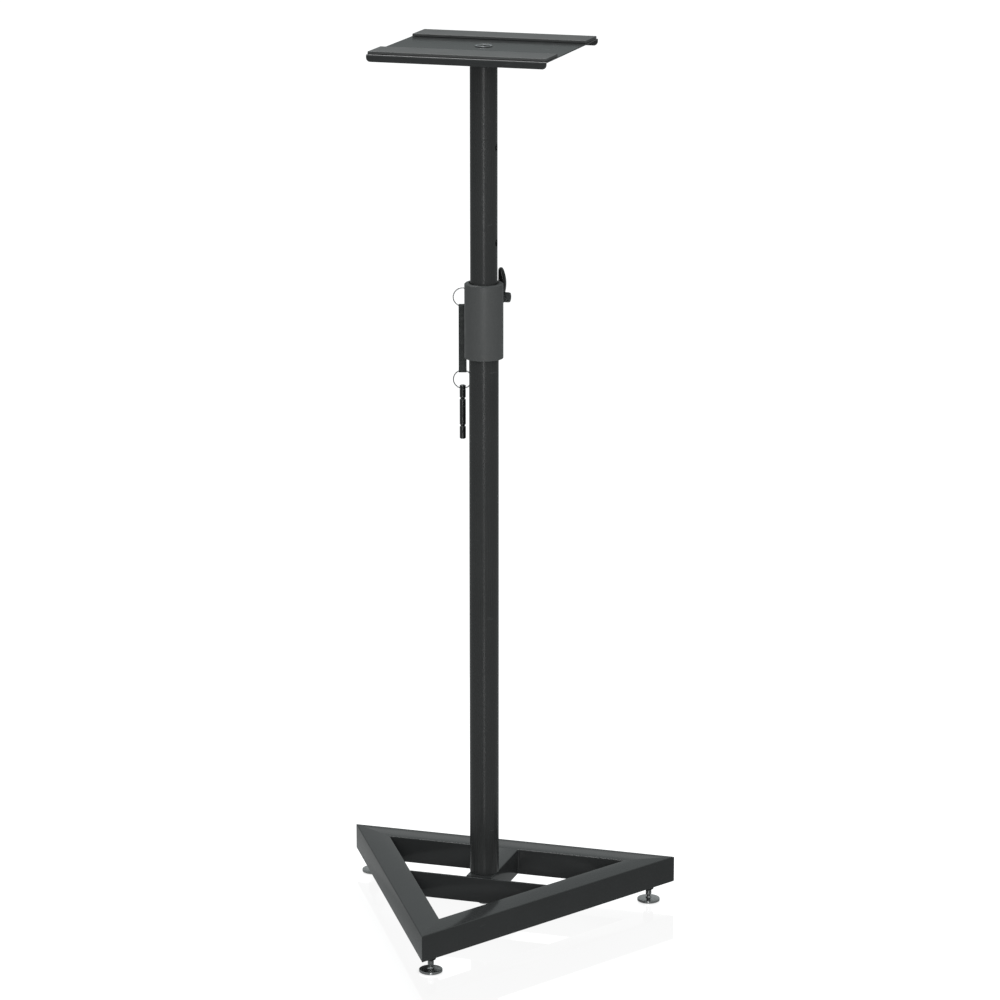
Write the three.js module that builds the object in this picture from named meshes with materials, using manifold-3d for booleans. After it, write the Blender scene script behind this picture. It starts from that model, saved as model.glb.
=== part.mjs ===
// Height-adjustable stand for a studio loudspeaker: a triangular tube base on three levelling
// feet, a telescopic column with a clamp collar and a locking pin on a lanyard, and a padded plate.
// Millimetres, +Z up. The origin is on the floor, under the middle of the base's bounding box.
// -Y is the base's apex. +X is the side where the clamp lever stands.

import * as THREE from 'three';
import { mergeVertices } from 'three/addons/utils/BufferGeometryUtils.js';
import Module from 'manifold-3d';

const wasm = await Module();
wasm.setup();

// ---------------------------------------------------------------- driving dimensions

// clearances
const seatGap = 0.3;             // between pieces that sit on or in each other
const slideClearance = 0.3;      // radial, upper tube in lower tube and liner
const screwClearance = 0.3;      // radial, screw in hole
const cutOver = 1;               // how far a cutting shape reaches past what it cuts

// facets round a full turn
const wireSides = 8;
const screwSides = 20;
const boreSides = 24;
const discSides = 28;
const hubSides = 32;
const tubeSides = 48;
const collarSides = 56;

// base
const baseSide = 450;            // outer side of the triangle
const railSize = 35;             // square tube
const railWall = 2;
const railHeightOverFloor = 24;  // underside of the rails
const crossBarThick = 3;
const crossBarDrop = 1.2;        // its top edge under the rails' tops
const columnFromBack = 129;      // column axis from the outer face of the back rail
const stubReach = 24.5;          // stub tube, from the column axis to its front end

// levelling feet
const footStudRadius = 4;
const footDiscRadius = 15;
const footDiscThick = 3.6;
const footDiscEdge = 0.75;       // rounding of the disc's rim
const footDiscBossRadius = 6.4;
const footDiscBossHeight = 3.3;
const footDiscBossWall = 0.65;   // round the stud's neck, at the boss's top
const footNeckRadius = 1.9;      // stud, where the disc holds it
const footNeckProud = 0.5;       // neck over the boss
const footDiscSkin = 1;          // disc under the stud's end
const footStudProud = 1.6;       // stud's top over the insert
const insertShankWall = 1.6;
const insertShankHeight = 12;
const insertHeadRadius = 6.8;
const insertHeadThick = 7.5;
const insertHeadEdge = 1.4;      // rounding of the head's lower edge

// column
const upperTubeRadius = 17.5;
const upperTubeWall = 1.5;
const upperTubeLength = 640;
const lowerTubeWall = 1.2;
const pinFirstHole = 120.5;      // topmost cross hole, from the tube's top
const pinHolePitch = 122;
const pinHoleCount = 5;
const pinHoleClearance = 0.5;    // radial, locking pin in the tube's holes
const padTopHeight = 1155.4;     // loudspeaker surface over the floor, as stored
const basePlugHeight = 20;
const guidePlugHeight = 24;
const guideRimHeight = 10;
const guideWall = 4.7;

// screws that hold the column to the base and to the platform
const mainScrewRadius = 5;
const mainHeadAcrossFlats = 16;
const mainHeadHeight = 6.4;
const mainWasherRadius = 10;
const mainWasherThick = 2;
const mainScrewUnderPlug = 2;    // screw's tip under the base plug's top
const spacerWall = 3;

// collar, liner and clamp
const collarWall = 5.7;
const collarHeight = 97.7;
const collarTopHeight = 850;
const collarChamfer = 1.5;
const linerHeight = 45;
const linerRecess = 1.6;
const slotWidth = 3;
const earThick = 7;
const earHeight = 47.4;
const earMargin = 8;             // round the clamp screw
const clampScrewRadius = 4;
const clampHeadAcrossFlats = 13;
const clampHeadHeight = 5.3;
const clampWasherRadius = 8;
const clampWasherThick = 1.6;

// clamp lever
const bushRadius = 6.6;
const bushLength = 16;
const bushCap = 2;
const bushChamfer = 0.6;
const leverHubWall = 1.4;
const leverToCollar = 0.4;       // running gap between the lever's hub and the collar
const leverHubWidth = 7;
const leverRise = 38.7;          // tip over the clamp screw's axis
const leverTipThick = 5;
const leverInnerBow = 0.8;       // of the arm's side near the column, from the hub's face
const leverOuterBow = 10.4;      // of its far side, from the hub's middle
const leverWidth = 11;
const leverKnee = 0.5;           // height of the bow's fullest place, as a share of the rise

// lanyard and locking pin
const lanyardYaw = 17.5;         // degrees, turn of the rings' plane about the column
const lanyardOut = 2.4;          // middle of the rings beyond the collar's side
const lugAngle = 30;             // degrees along the ring, from its top to the lug
const lugThick = 1.6;
const lugEyeRadius = 2.2;
const lugMargin = 2.4;
const lugBelowCollarTop = 11.9;  // lug's eye under the collar's top
const ringRadius = 11.9;         // middle of the wire
const ringWireRadius = 0.75;
const ringRun = 0.8;             // upper ring clear of the collar
const strapWidth = 10.2;
const strapPly = 0.8;
const strapEyeRadius = 1.75;
const strapEyeToEye = 84.75;
const strapWrap = Math.PI / 6;   // how far each fold closes round its ring, past the half turn
const strapThroat = 1.4;         // where the plies start to close, in fold radii from the eye
const strapNeck = 3;             // where the plies meet, in fold radii from the eye
const pinRadius = 4;
const pinLength = 71;
const pinHeadOverEye = 4.7;
const pinEyeRadius = 1.8;
const pinGrooveDepth = 1.2;
const pinGrooveWidth = 3.2;
const pinFirstGroove = 17.9;     // from the pin's top
const pinSecondGroove = 53.8;
const pinChamfer = 0.8;

// platform
const plateWidth = 233;
const plateDepth = 228;
const plateThick = 1.5;
const plateEdgeHeight = 9.2;     // turned-down edge, with the sheet
const plateEdgeCorner = 5.5;
const plateBend = 2.5;
const padEndInset = 1.1;         // from the plate's sides
const padWidth = 48.6;
const padThick = 3.2;
const padInset = 3;              // from the plate's front and back
const padCorner = 1;
const topDiscRadius = 30;
const topDiscThick = 5;
const topPlugHeight = 22;
const platformWasherRadius = 11;
const platformWasherThick = 1.2;
const platformHeadRadius = 8.5;
const platformHeadUnderPads = 0.4;
const platformScrewLength = 24;

// ---------------------------------------------------------------- derived sizes and places

const triangleHeight = baseSide * Math.sqrt(3) / 2;
const backFaceY = triangleHeight / 2;
const railTop = railHeightOverFloor + railSize;
const railMiddleZ = railHeightOverFloor + railSize / 2;
const columnY = backFaceY - columnFromBack;

const lowerTubeInner = upperTubeRadius + slideClearance;
const lowerTubeRadius = lowerTubeInner + lowerTubeWall;
const lowerTubeBottom = railTop + seatGap;
const collarBore = lowerTubeRadius + seatGap;
const collarRadius = collarBore + collarWall;
const collarBottomHeight = collarTopHeight - collarHeight;
const linerTop = collarTopHeight - linerRecess;
const linerBottom = linerTop - linerHeight;
const lowerTubeTop = linerBottom - seatGap;
const pinHoleRadius = pinRadius + pinHoleClearance;

const padLength = plateWidth - 2 * padEndInset;
const padBottom = padTopHeight - padThick;
const plateTop = padBottom - seatGap;
const plateUnder = plateTop - plateThick;
const topDiscTop = plateUnder - seatGap;
const topDiscUnder = topDiscTop - topDiscThick;
const upperTubeTop = topDiscUnder - seatGap;
const upperTubeBottom = upperTubeTop - upperTubeLength;
const upperTubeInner = upperTubeRadius - upperTubeWall;
const platformHeadBottom = plateTop + platformWasherThick + 2 * seatGap;
const platformHeadTop = padTopHeight - platformHeadUnderPads;

const earFace = slotWidth / 2 + earThick;
const bushStart = earFace + seatGap;
const bushBore = clampScrewRadius + screwClearance;
const leverHubStart = bushStart + seatGap;
const leverHubRadius = bushRadius + seatGap + leverHubWall;
const clampHole = clampScrewRadius + screwClearance;
const clampZ = collarTopHeight - earHeight / 2;
const clampY = Math.sqrt(collarRadius ** 2 - leverHubStart ** 2) + leverHubRadius
  + leverToCollar;               // clamp screw's axis from the column axis
const earReach = clampY + earMargin;

// ---------------------------------------------------------------- solids and materials

function solidOf(geometry) {
  const bare = geometry.clone();
  bare.deleteAttribute('normal');
  if (bare.hasAttribute('uv')) bare.deleteAttribute('uv');
  const merged = mergeVertices(bare.index ? bare.toNonIndexed() : bare, 1e-4);
  const vertProperties = new Float32Array(merged.attributes.position.array);
  const triVerts = new Uint32Array(merged.index.array);
  return new wasm.Manifold(new wasm.Mesh({ numProp: 3, vertProperties, triVerts }));
}

function geometryOf(solid) {
  const mesh = solid.getMesh();
  const geometry = new THREE.BufferGeometry();
  geometry.setAttribute('position', new THREE.BufferAttribute(mesh.vertProperties, 3));
  geometry.setIndex(new THREE.BufferAttribute(mesh.triVerts, 1));
  geometry.computeVertexNormals();
  return geometry;
}

function cut(body, ...tools) {
  return geometryOf(tools.reduce((left, tool) => left.subtract(solidOf(tool)), solidOf(body)));
}

function join(body, ...others) {
  return geometryOf(others.reduce((sum, other) => sum.add(solidOf(other)), solidOf(body)));
}

function common(body, other) {
  return geometryOf(solidOf(body).intersect(solidOf(other)));
}

// A solid of revolution about Z from a closed list of [radius, height] points.
function turned(points, segments) {
  const outline = points.map(([radius, height]) => new THREE.Vector2(radius, height));
  outline.push(outline[0].clone());
  return new THREE.LatheGeometry(outline, segments).rotateX(Math.PI / 2);
}

function ring(outer, inner, bottom, top, segments) {
  return turned([[inner, bottom], [outer, bottom], [outer, top], [inner, top]], segments);
}

function disc(radius, bottom, top, segments) {
  return new THREE.CylinderGeometry(radius, radius, top - bottom, segments)
    .rotateX(Math.PI / 2).translate(0, 0, (top + bottom) / 2);
}

// A rod along X.
function crossRod(radius, from, to, segments) {
  return new THREE.CylinderGeometry(radius, radius, to - from, segments)
    .rotateZ(Math.PI / 2).translate((from + to) / 2, 0, 0);
}

function block(xSize, ySize, zSize, x, y, z) {
  return new THREE.BoxGeometry(xSize, ySize, zSize).translate(x, y, z);
}

// A hexagon with two flats along X, between two heights.
function hexagon(acrossFlats, bottom, top) {
  return new THREE.CylinderGeometry(acrossFlats / Math.sqrt(3), acrossFlats / Math.sqrt(3),
    top - bottom, 6).rotateX(Math.PI / 2).translate(0, 0, (top + bottom) / 2);
}

function extruded(shape, depth, curveSegments = 8) {
  return new THREE.ExtrudeGeometry(shape, { depth, bevelEnabled: false, curveSegments });
}

function polygonShape(points) {
  return new THREE.Shape(points.map(([x, y]) => new THREE.Vector2(x, y)));
}

const finishes = {
  powderCoat: { color: 0x33363a, roughness: 0.5, metalness: 0.2 },
  collarCoat: { color: 0x43474a, roughness: 0.45, metalness: 0.2 },
  blackPlastic: { color: 0x18191a, roughness: 0.45, metalness: 0 },
  nylon: { color: 0x101112, roughness: 0.6, metalness: 0 },
  zinc: { color: 0x8d9092, roughness: 0.4, metalness: 0.9 },
  darkNickel: { color: 0x55585a, roughness: 0.25, metalness: 0.9 },
  bush: { color: 0x4c4f50, roughness: 0.5, metalness: 0.6 },
  rubber: { color: 0x6d7070, roughness: 0.85, metalness: 0 },
  leather: { color: 0x2f3332, roughness: 0.75, metalness: 0 },
};

function piece(name, geometry, finish) {
  const mesh = new THREE.Mesh(geometry, new THREE.MeshStandardMaterial(finishes[finish]));
  mesh.name = name;
  return mesh;
}

// ---------------------------------------------------------------- base

// Corners of the triangle and the foot axes, where the rails' middle lines cross.
function corner(index) {
  const angle = THREE.MathUtils.degToRad(-90 + 120 * index);
  const outerRadius = triangleHeight * 2 / 3;
  const footRadius = outerRadius - railSize;
  const middleY = backFaceY - triangleHeight / 3;
  return {
    x: footRadius * Math.cos(angle),
    y: middleY + footRadius * Math.sin(angle),
  };
}

const footPlaces = { front: corner(0), right: corner(1), left: corner(2) };
const insertShankRadius = footStudRadius + screwClearance + insertShankWall;

// One mitred square tube, drawn along X with its outer face towards +Y, then turned into place.
function railGeometry(index) {
  const mitreBack = seatGap / 2 / Math.sin(Math.PI / 6);
  const outerHalf = baseSide / 2 - mitreBack;
  const innerHalf = outerHalf - railSize * Math.sqrt(3);
  const middleToFace = triangleHeight / 3;
  const plan = polygonShape([
    [-outerHalf, middleToFace], [-innerHalf, middleToFace - railSize],
    [innerHalf, middleToFace - railSize], [outerHalf, middleToFace],
  ]);
  const bar = extruded(plan, railSize).translate(0, 0, railHeightOverFloor);
  const hollow = block(baseSide + railSize, railSize - 2 * railWall, railSize - 2 * railWall,
    0, middleToFace - railSize / 2, railMiddleZ);
  const middleY = backFaceY - triangleHeight / 3;
  const holes = Object.values(footPlaces).map((place) => disc(insertShankRadius + seatGap,
    railHeightOverFloor - railWall, railHeightOverFloor + 2 * railWall, screwSides)
    .translate(place.x, place.y - middleY, 0)
    .rotateZ(-index * 2 * Math.PI / 3));
  return cut(bar, hollow, ...holes)
    .rotateZ(index * 2 * Math.PI / 3)
    .translate(0, middleY, 0);
}

function stubGeometry() {
  const length = columnFromBack - railSize - seatGap + stubReach;
  const middleY = backFaceY - railSize - seatGap - length / 2;
  const bore = disc(mainScrewRadius + screwClearance, railHeightOverFloor - cutOver,
    railTop + cutOver, boreSides)
    .translate(0, columnY, 0);
  return cut(block(railSize, length, railSize, 0, middleY, railMiddleZ),
    block(railSize - 2 * railWall, length + 2 * cutOver, railSize - 2 * railWall,
      0, middleY, railMiddleZ),
    bore);
}

// The bar's ends are cut along the side rails' inner faces.
function crossBarGeometry() {
  const innerX = (y) => (y - backFaceY + triangleHeight) / Math.sqrt(3)
    - (railSize + seatGap) * 2 / Math.sqrt(3);
  const backY = columnY - stubReach - seatGap;
  const frontY = backY - crossBarThick;
  const plan = polygonShape([
    [-innerX(frontY), frontY], [innerX(frontY), frontY],
    [innerX(backY), backY], [-innerX(backY), backY],
  ]);
  return extruded(plan, railSize - crossBarDrop).translate(0, 0, railHeightOverFloor);
}

function spacerGeometry() {
  const inner = mainScrewRadius + screwClearance;
  return ring(inner + spacerWall, inner, railHeightOverFloor + railWall + seatGap,
    railTop - railWall - seatGap, boreSides);
}

function hexScrewGeometry(radius, acrossFlats, headHeight, headTop, tip) {
  return join(hexagon(acrossFlats, headTop - headHeight, headTop),
    disc(radius, headTop - headHeight / 2, tip, screwSides));
}

function baseColumnFixings() {
  const washerTop = railHeightOverFloor - seatGap;
  const headTop = washerTop - mainWasherThick - seatGap;
  const hole = mainScrewRadius + screwClearance;
  const group = new THREE.Group();
  group.position.set(0, columnY, 0);
  group.add(
    piece('stub_spacer', spacerGeometry(), 'zinc'),
    piece('base_washer', ring(mainWasherRadius, hole, washerTop - mainWasherThick, washerTop,
      discSides), 'zinc'),
    piece('base_bolt', hexScrewGeometry(mainScrewRadius, mainHeadAcrossFlats, mainHeadHeight,
      headTop, lowerTubeBottom + basePlugHeight - mainScrewUnderPlug), 'zinc'),
    piece('base_plug', ring(lowerTubeInner - seatGap, hole, lowerTubeBottom,
      lowerTubeBottom + basePlugHeight, hubSides), 'zinc'),
  );
  return group;
}

// ---------------------------------------------------------------- levelling feet

function insertGeometry() {
  const inner = footStudRadius + screwClearance;
  const under = railHeightOverFloor - seatGap;
  const bottom = under - insertHeadThick;
  const slope = insertHeadEdge * (1 - Math.SQRT1_2);
  return turned([
    [inner, bottom], [insertHeadRadius - insertHeadEdge, bottom],
    [insertHeadRadius - slope, bottom + slope], [insertHeadRadius, bottom + insertHeadEdge],
    [insertHeadRadius, under], [insertShankRadius, under],
    [insertShankRadius, under + insertShankHeight], [inner, under + insertShankHeight],
  ], boreSides);
}

function footDiscGeometry() {
  const socket = footNeckRadius + screwClearance;
  return turned([
    [0, 0], [footDiscRadius - footDiscEdge, 0], [footDiscRadius, footDiscEdge],
    [footDiscRadius, footDiscThick - footDiscEdge], [footDiscRadius - footDiscEdge, footDiscThick],
    [footDiscBossRadius, footDiscThick],
    [socket + footDiscBossWall, footDiscThick + footDiscBossHeight],
    [socket, footDiscThick + footDiscBossHeight], [socket, footDiscSkin], [0, footDiscSkin],
  ], discSides);
}

function footStudGeometry() {
  const top = railHeightOverFloor - seatGap + insertShankHeight + footStudProud;
  const bottom = footDiscSkin + seatGap;
  const neckTop = footDiscThick + footDiscBossHeight + footNeckProud;
  return turned([
    [0, bottom], [footNeckRadius, bottom], [footNeckRadius, neckTop],
    [footStudRadius, neckTop + footStudRadius - footNeckRadius], [footStudRadius, top], [0, top],
  ], screwSides);
}

function foot(side) {
  const group = new THREE.Group();
  group.position.set(footPlaces[side].x, footPlaces[side].y, 0);
  group.add(
    piece(`foot_${side}_insert`, insertGeometry(), 'nylon'),
    piece(`foot_${side}_stud`, footStudGeometry(), 'darkNickel'),
    piece(`foot_${side}_disc`, footDiscGeometry(), 'darkNickel'),
  );
  return group;
}

// ---------------------------------------------------------------- collar and clamp

function collarGeometry() {
  const sleeve = turned([
    [collarBore, collarBottomHeight], [collarRadius, collarBottomHeight],
    [collarRadius, collarTopHeight - collarChamfer],
    [collarRadius - collarChamfer, collarTopHeight], [collarBore, collarTopHeight],
  ], collarSides);
  const earLength = earReach - collarBore;
  const ears = common(
    block(2 * earFace, earLength, earHeight, 0, collarBore + earLength / 2, clampZ),
    crossRod(Math.hypot(earMargin, earHeight / 2), -earFace, earFace, tubeSides)
      .translate(0, earReach - Math.hypot(earMargin, earHeight / 2), clampZ),
  );
  const bore = disc(collarBore, collarBottomHeight - cutOver, collarTopHeight + cutOver,
    collarSides);
  const slot = block(slotWidth, earReach + cutOver, earHeight + cutOver,
    0, (earReach + cutOver) / 2, collarTopHeight + (cutOver - earHeight) / 2);
  const screwHole = crossRod(clampHole, -earFace - cutOver, earFace + cutOver, boreSides)
    .translate(0, clampY, clampZ);
  return cut(join(sleeve, ears), bore, slot, screwHole);
}

function linerGeometry() {
  const sleeve = ring(collarBore - seatGap, upperTubeRadius + slideClearance,
    linerBottom, linerTop, collarSides);
  const slot = block(slotWidth, collarRadius, linerHeight + 2 * cutOver,
    0, collarRadius / 2, (linerTop + linerBottom) / 2);
  return cut(sleeve, slot);
}

function clampBoltGeometry() {
  const headEnd = -earFace - 2 * seatGap - clampWasherThick;
  const head = hexagon(clampHeadAcrossFlats, 0, clampHeadHeight)
    .rotateY(Math.PI / 2).translate(headEnd - clampHeadHeight, 0, 0);
  const tip = bushStart + bushLength - bushCap - seatGap;
  return join(head, crossRod(clampScrewRadius, headEnd - clampHeadHeight / 2, tip, screwSides));
}

function clampWasherGeometry() {
  return ring(clampWasherRadius, clampHole, 0, clampWasherThick, discSides)
    .rotateY(Math.PI / 2).translate(-earFace - seatGap - clampWasherThick, 0, 0);
}

function bushGeometry() {
  return turned([
    [bushBore, 0], [bushRadius, 0], [bushRadius, bushLength - bushChamfer],
    [bushRadius - bushChamfer, bushLength], [0, bushLength], [0, bushLength - bushCap],
    [bushBore, bushLength - bushCap],
  ], hubSides).rotateY(Math.PI / 2).translate(bushStart, 0, 0);
}

// The arm is drawn in the X-Z plane: it rises from the hub, and its far side bows outwards.
function leverGeometry() {
  const hubEnd = leverHubStart + leverHubWidth;
  const middle = leverHubStart + leverHubWidth / 2;
  const outline = new THREE.Shape();
  outline.moveTo(leverHubStart, 0);
  outline.quadraticCurveTo(leverHubStart + leverInnerBow, leverRise * leverKnee,
    middle - leverTipThick / 2, leverRise - leverTipThick / 2);
  outline.absarc(middle, leverRise - leverTipThick / 2, leverTipThick / 2, Math.PI, 0, true);
  outline.quadraticCurveTo(middle + leverOuterBow, leverRise * leverKnee, hubEnd, 0);
  const arm = extruded(outline, leverWidth, 10)
    .rotateX(Math.PI / 2).translate(0, leverWidth / 2, 0);
  const roundingZ = leverRise - leverWidth / 2;
  const armSpan = leverHubStart + leverHubWidth + leverOuterBow;
  const softened = join(
    common(arm, crossRod(leverWidth / 2, 0, armSpan, boreSides).translate(0, 0, roundingZ)),
    common(arm, block(2 * armSpan, 2 * leverWidth, roundingZ, 0, 0, roundingZ / 2)),
  );
  const hub = crossRod(leverHubRadius, leverHubStart, hubEnd, hubSides);
  const bore = crossRod(bushRadius + seatGap, bushStart, bushStart + 2 * bushLength, hubSides);
  return cut(join(softened, hub), bore);
}

function clamp() {
  const group = new THREE.Group();
  group.position.set(0, columnY + clampY, clampZ);
  group.add(
    piece('clamp_bolt', clampBoltGeometry(), 'zinc'),
    piece('clamp_washer', clampWasherGeometry(), 'zinc'),
    piece('lever_bush', bushGeometry(), 'bush'),
    piece('clamp_lever', leverGeometry(), 'blackPlastic'),
  );
  return group;
}

// ---------------------------------------------------------------- lanyard

// The lanyard is drawn in its own frame: X lies in the rings' plane, Y points away from the
// column, X = 0 is the middle of the rings and Z = 0 is the wire's middle where it hangs in the lug.
const lugTurn = THREE.MathUtils.degToRad(lugAngle);
const hangingX = collarRadius + lanyardOut;
const ringInnerX = hangingX - ringRadius - ringWireRadius;
const lanyardAway = Math.sqrt((collarRadius + ringRun) ** 2 - ringInnerX ** 2);
const hangDrop = lugEyeRadius - seatGap - ringWireRadius / Math.cos(lugTurn)
  - lugThick / 2 * Math.tan(lugTurn);
const hangZ = collarTopHeight - lugBelowCollarTop - hangDrop;
const upperRingZ = -ringRadius * Math.cos(lugTurn);

// How much higher a ring's wire lies at the edge of what hangs on it than at its middle.
function wireRise(halfWidth) {
  return ringRadius - Math.sqrt(ringRadius ** 2 - halfWidth ** 2);
}

const strapSeat = wireRise(strapWidth / 2) + ringWireRadius + seatGap - strapEyeRadius;
const strapTopEyeZ = upperRingZ - ringRadius + strapSeat;
const strapLowEyeZ = strapTopEyeZ - strapEyeToEye;
const lowerRingZ = strapLowEyeZ + strapSeat - ringRadius;
const pinSeat = wireRise(pinRadius) + ringWireRadius + seatGap - pinEyeRadius;
const pinEyeZ = lowerRingZ - ringRadius + pinSeat;

function wireRingGeometry() {
  return new THREE.TorusGeometry(ringRadius, ringWireRadius, wireSides, hubSides).rotateX(Math.PI / 2);
}

function lugGeometry() {
  const reach = lugEyeRadius + lugMargin;
  const plate = join(
    block(lugThick, lanyardAway, 2 * reach, 0, -lanyardAway / 2, hangDrop),
    crossRod(reach, -lugThick / 2, lugThick / 2, discSides).translate(0, 0, hangDrop),
  );
  const eye = crossRod(lugEyeRadius, -lugThick, lugThick, boreSides).translate(0, 0, hangDrop);
  const collarSpace = disc(collarRadius + seatGap, -collarRadius, collarRadius, collarSides)
    .rotateZ(-THREE.MathUtils.degToRad(lanyardYaw))
    .translate(hangingX, -lanyardAway, 0);
  return cut(cut(plate, eye).translate(ringRadius * Math.sin(lugTurn), 0, 0), collarSpace);
}

// A strap folded back on itself, with an eye at each fold.
function strapGeometry() {
  const outer = strapEyeRadius + strapPly;
  const length = strapEyeToEye;
  const outline = new THREE.Shape();
  const throat = outer * strapThroat;
  const neck = outer * strapNeck;
  const foldX = outer * Math.cos(strapWrap);
  const foldZ = outer * Math.sin(strapWrap);
  outline.absarc(0, 0, outer, -strapWrap, Math.PI + strapWrap, false);
  outline.quadraticCurveTo(-strapPly, -throat, -strapPly, -neck);
  outline.lineTo(-strapPly, neck - length);
  outline.quadraticCurveTo(-strapPly, throat - length, -foldX, foldZ - length);
  outline.absarc(0, -length, outer, Math.PI - strapWrap, 2 * Math.PI + strapWrap, false);
  outline.quadraticCurveTo(strapPly, throat - length, strapPly, neck - length);
  outline.lineTo(strapPly, -neck);
  outline.quadraticCurveTo(strapPly, -throat, foldX, -foldZ);
  const band = extruded(outline, strapWidth, 12)
    .rotateX(Math.PI / 2).rotateZ(Math.PI / 2).translate(-strapWidth / 2, 0, 0);
  const eye = crossRod(strapEyeRadius, -strapWidth, strapWidth, boreSides);
  return cut(band, eye, eye.clone().translate(0, 0, -length));
}

function pinGeometry() {
  const grooves = [pinSecondGroove, pinFirstGroove].flatMap((depth) => {
    const z = pinHeadOverEye - depth;
    return [
      [pinRadius, z - pinGrooveWidth / 2], [pinRadius - pinGrooveDepth, z - pinGrooveWidth / 4],
      [pinRadius - pinGrooveDepth, z + pinGrooveWidth / 4], [pinRadius, z + pinGrooveWidth / 2],
    ];
  });
  const tip = pinHeadOverEye - pinLength;
  const shaft = turned([
    [0, tip], [pinRadius - pinChamfer, tip], [pinRadius, tip + pinChamfer], ...grooves,
    [pinRadius, pinHeadOverEye - pinChamfer], [pinRadius - pinChamfer, pinHeadOverEye],
    [0, pinHeadOverEye],
  ], screwSides);
  return cut(shaft, crossRod(pinEyeRadius, -2 * pinRadius, 2 * pinRadius, boreSides));
}

function lanyard() {
  const aroundColumn = new THREE.Group();
  aroundColumn.position.set(0, columnY, hangZ);
  aroundColumn.rotation.z = THREE.MathUtils.degToRad(lanyardYaw);
  const hanging = new THREE.Group();
  hanging.position.set(-hangingX, lanyardAway, 0);
  const upperRing = piece('upper_ring', wireRingGeometry(), 'zinc');
  upperRing.position.z = upperRingZ;
  const strap = piece('strap', strapGeometry(), 'leather');
  strap.position.z = strapTopEyeZ;
  const lowerRing = piece('lower_ring', wireRingGeometry(), 'zinc');
  lowerRing.position.z = lowerRingZ;
  const pin = piece('locking_pin', pinGeometry(), 'darkNickel');
  pin.position.z = pinEyeZ;
  hanging.add(piece('lanyard_lug', lugGeometry(), 'collarCoat'), upperRing, strap, lowerRing, pin);
  aroundColumn.add(hanging);
  return aroundColumn;
}

// ---------------------------------------------------------------- upper column and platform

function upperTubeGeometry() {
  const tube = ring(upperTubeRadius, upperTubeInner, upperTubeBottom, upperTubeTop, tubeSides);
  const holes = Array.from({ length: pinHoleCount }, (_, index) =>
    crossRod(pinHoleRadius, -upperTubeRadius - cutOver, upperTubeRadius + cutOver, screwSides)
      .translate(0, 0, upperTubeTop - pinFirstHole - pinHolePitch * index));
  return cut(tube, ...holes);
}

function guideBushGeometry() {
  const rimTop = upperTubeBottom - seatGap;
  const plugRadius = upperTubeInner - seatGap;
  const bore = plugRadius - guideWall;
  return turned([
    [bore, rimTop - guideRimHeight], [upperTubeRadius, rimTop - guideRimHeight],
    [upperTubeRadius, rimTop], [plugRadius, rimTop], [plugRadius, rimTop + guidePlugHeight],
    [bore, rimTop + guidePlugHeight],
  ], tubeSides);
}

function topPlugGeometry() {
  const hole = mainScrewRadius + screwClearance;
  const plugRadius = upperTubeInner - seatGap;
  return turned([
    [hole, topDiscTop], [hole, topDiscUnder - topPlugHeight],
    [plugRadius, topDiscUnder - topPlugHeight], [plugRadius, topDiscUnder],
    [topDiscRadius, topDiscUnder], [topDiscRadius, topDiscTop],
  ], tubeSides);
}

// The sheet is bent down along its front and back; the edges' lower corners are rounded.
function plateGeometry() {
  const halfDepth = plateDepth / 2;
  const bottom = plateTop - plateEdgeHeight;
  const innerBend = plateBend - plateThick;
  const section = new THREE.Shape();
  section.moveTo(-halfDepth, bottom);
  section.lineTo(-halfDepth, plateTop - plateBend);
  section.absarc(-halfDepth + plateBend, plateTop - plateBend, plateBend, Math.PI, Math.PI / 2, true);
  section.lineTo(halfDepth - plateBend, plateTop);
  section.absarc(halfDepth - plateBend, plateTop - plateBend, plateBend, Math.PI / 2, 0, true);
  section.lineTo(halfDepth, bottom);
  section.lineTo(halfDepth - plateThick, bottom);
  section.lineTo(halfDepth - plateThick, plateUnder - innerBend);
  section.lineTo(halfDepth - plateBend, plateUnder);
  section.lineTo(-halfDepth + plateBend, plateUnder);
  section.lineTo(-halfDepth + plateThick, plateUnder - innerBend);
  section.lineTo(-halfDepth + plateThick, bottom);
  const sheet = extruded(section, plateWidth, 5)
    .rotateX(Math.PI / 2).rotateZ(Math.PI / 2).translate(-plateWidth / 2, 0, 0);
  const front = new THREE.Shape();
  const half = plateWidth / 2;
  front.moveTo(-half, plateTop + cutOver);
  front.lineTo(-half, bottom + plateEdgeCorner);
  front.absarc(-half + plateEdgeCorner, bottom + plateEdgeCorner, plateEdgeCorner,
    Math.PI, Math.PI * 1.5, false);
  front.absarc(half - plateEdgeCorner, bottom + plateEdgeCorner, plateEdgeCorner,
    Math.PI * 1.5, Math.PI * 2, false);
  front.lineTo(half, plateTop + cutOver);
  const rounding = extruded(front, plateDepth + 2 * cutOver, 6)
    .rotateX(Math.PI / 2).translate(0, plateDepth / 2 + cutOver, 0);
  return cut(common(sheet, rounding),
    disc(mainScrewRadius + screwClearance, plateUnder - cutOver, plateTop + cutOver,
      boreSides));
}

function padGeometry() {
  const half = padLength / 2;
  const outline = new THREE.Shape();
  outline.moveTo(-half, 0);
  outline.lineTo(half, 0);
  outline.lineTo(half, padThick - padCorner);
  outline.absarc(half - padCorner, padThick - padCorner, padCorner, 0, Math.PI / 2, false);
  outline.absarc(-half + padCorner, padThick - padCorner, padCorner, Math.PI / 2, Math.PI, false);
  return extruded(outline, padWidth, 3)
    .rotateX(Math.PI / 2).translate(0, padWidth / 2, padBottom);
}

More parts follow.
